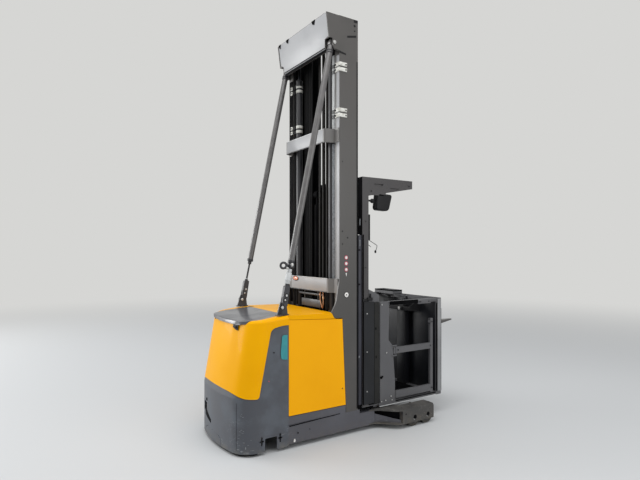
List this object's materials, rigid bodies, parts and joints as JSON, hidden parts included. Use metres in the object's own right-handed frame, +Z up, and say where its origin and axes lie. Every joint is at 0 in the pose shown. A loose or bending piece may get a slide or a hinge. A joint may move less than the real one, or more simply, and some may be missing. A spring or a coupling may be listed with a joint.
{
  "type": "order picker truck",
  "caption": "Electric high-level order picker with a yellow drive hood, a telescopic mast braced by two stays, and a lifting operator cab with short forks.",
  "frame": {"origin": "on the floor under the centre of the truck's box", "axes": "+X towards the forks, +Y to the truck's left, +Z up"},
  "size_m": [2.645, 1.228, 3.703],
  "materials": {
    "dark_paint": "satin dark grey powder coat",
    "frame_paint": "scuffed dark grey paint",
    "yellow_plastic": "glossy warm yellow moulding",
    "yellow_steel": "warm yellow enamel",
    "lid_grey": "silver grey moulding",
    "black_plastic": "matt black plastic",
    "tyre": "dark polyurethane tread",
    "roller": "worn polyurethane",
    "cast": "dark casting",
    "bright_steel": "zinc plated steel",
    "chrome_rod": "hard chrome rod",
    "chain_steel": "oiled chain steel",
    "hose_rubber": "black hose rubber",
    "battery_case": "dark battery tray"
  },
  "bodies": {
    "chassis": {"chassis_frame": "frame_paint", "rear_skirt": "frame_paint", "drive_hood": "yellow_plastic", "battery_cover": "yellow_plastic", "battery_block": "battery_case", "drive_motor": "cast", "load_wheel_arms": "frame_paint", "load_axles": "bright_steel", "mast_uprights": "dark_paint", "mast_crossmembers": "dark_paint", "mast_crosshead": "dark_paint", "stay_tubes": "dark_paint", "stay_ends": "dark_paint", "stay_brackets": "dark_paint", "lift_barrels": "black_plastic", "mast_pipes": "bright_steel"},
    "lid": {"hood_lid": "lid_grey"},
    "door_right": {"battery_door_right": "yellow_steel"},
    "door_left": {"battery_door_left": "yellow_steel"},
    "steering": {"steered_gearbox": "cast"},
    "drive_wheel": {"drive_hub": "cast", "drive_tyre": "tyre"},
    "support_right": {"support_roller_right": "roller"},
    "support_left": {"support_roller_left": "roller"},
    "load_right_rear": {"load_wheel_right_rear": "roller"},
    "load_right_front": {"load_wheel_right_front": "roller"},
    "load_left_rear": {"load_wheel_left_rear": "roller"},
    "load_left_front": {"load_wheel_left_front": "roller"},
    "middle_stage": {"middle_mast": "dark_paint", "lift_rods": "chrome_rod"},
    "inner_stage": {"inner_mast": "dark_paint", "free_lift_cylinder": "dark_paint", "mast_chains": "chain_steel", "mast_hoses": "hose_rubber"},
    "cab": {"lift_carriage": "dark_paint", "cab_floor": "dark_paint", "cab_back_wall": "dark_paint", "entry_frames": "dark_paint", "front_wall": "dark_paint", "control_console": "black_plastic", "top_tray": "black_plastic", "overhead_guard": "dark_paint", "mirror": "black_plastic", "fork_mast": "dark_paint"},
    "gate_right": {"side_gate_right": "dark_paint"},
    "gate_left": {"side_gate_left": "dark_paint"},
    "fork_lift": {"fork_carriage": "dark_paint", "forks": "dark_paint"}
  },
  "joints": [
    {"name": "drive_steer", "type": "hinge", "parent": "chassis", "child": "steering", "pos_m": [-1.04, 0, 0.34], "axis": [0, 0, 1], "range_deg": [-90, 90]},
    {"name": "drive_spin", "type": "hinge", "parent": "steering", "child": "drive_wheel", "pos_m": [-1.04, 0, 0.172], "axis": [0, 1, 0], "continuous": true},
    {"name": "support_spin_right", "type": "hinge", "parent": "chassis", "child": "support_right", "pos_m": [-1.18, -0.388, 0.028], "axis": [0, 1, 0], "continuous": true},
    {"name": "support_spin_left", "type": "hinge", "parent": "chassis", "child": "support_left", "pos_m": [-1.18, 0.388, 0.028], "axis": [0, 1, 0], "continuous": true},
    {"name": "load_spin_right_rear", "type": "hinge", "parent": "chassis", "child": "load_right_rear", "pos_m": [0.409, -0.546, 0.077], "axis": [0, 1, 0], "continuous": true},
    {"name": "load_spin_right_front", "type": "hinge", "parent": "chassis", "child": "load_right_front", "pos_m": [0.573, -0.546, 0.077], "axis": [0, 1, 0], "continuous": true},
    {"name": "load_spin_left_rear", "type": "hinge", "parent": "chassis", "child": "load_left_rear", "pos_m": [0.409, 0.546, 0.077], "axis": [0, 1, 0], "continuous": true},
    {"name": "load_spin_left_front", "type": "hinge", "parent": "chassis", "child": "load_left_front", "pos_m": [0.573, 0.546, 0.077], "axis": [0, 1, 0], "continuous": true},
    {"name": "lid_hinge", "type": "hinge", "parent": "chassis", "child": "lid", "pos_m": [-0.83, 0, 1.1], "axis": [0, 1, 0], "range_deg": [0, 65]},
    {"name": "door_hinge_right", "type": "hinge", "parent": "chassis", "child": "door_right", "pos_m": [-0.839, -0.45, 0.66], "axis": [0, 0, -1], "range_deg": [0, 100]},
    {"name": "door_hinge_left", "type": "hinge", "parent": "chassis", "child": "door_left", "pos_m": [-0.839, 0.45, 0.66], "axis": [0, 0, 1], "range_deg": [0, 100]},
    {"name": "mast_lift", "type": "slide", "parent": "chassis", "child": "middle_stage", "axis": [0, 0, 1], "range_m": [0, 2.6]},
    {"name": "mast_lift_inner", "type": "slide", "parent": "middle_stage", "child": "inner_stage", "axis": [0, 0, 1], "range_m": [0, 2.6]},
    {"name": "cab_lift", "type": "slide", "parent": "inner_stage", "child": "cab", "axis": [0, 0, 1], "range_m": [0, 2.2]},
    {"name": "gate_hinge_right", "type": "hinge", "parent": "cab", "child": "gate_right", "pos_m": [0.32, -0.45, 0.69], "axis": [0, 0, -1], "range_deg": [0, 90]},
    {"name": "gate_hinge_left", "type": "hinge", "parent": "cab", "child": "gate_left", "pos_m": [0.32, 0.45, 0.69], "axis": [0, 0, 1], "range_deg": [0, 90]},
    {"name": "fork_slide", "type": "slide", "parent": "cab", "child": "fork_lift", "axis": [0, 0, 1], "range_m": [-0.79, 0]}
  ],
  "couplings": [
    {"joint": "mast_lift_inner", "follows": "mast_lift", "ratio": 1}
  ]
}
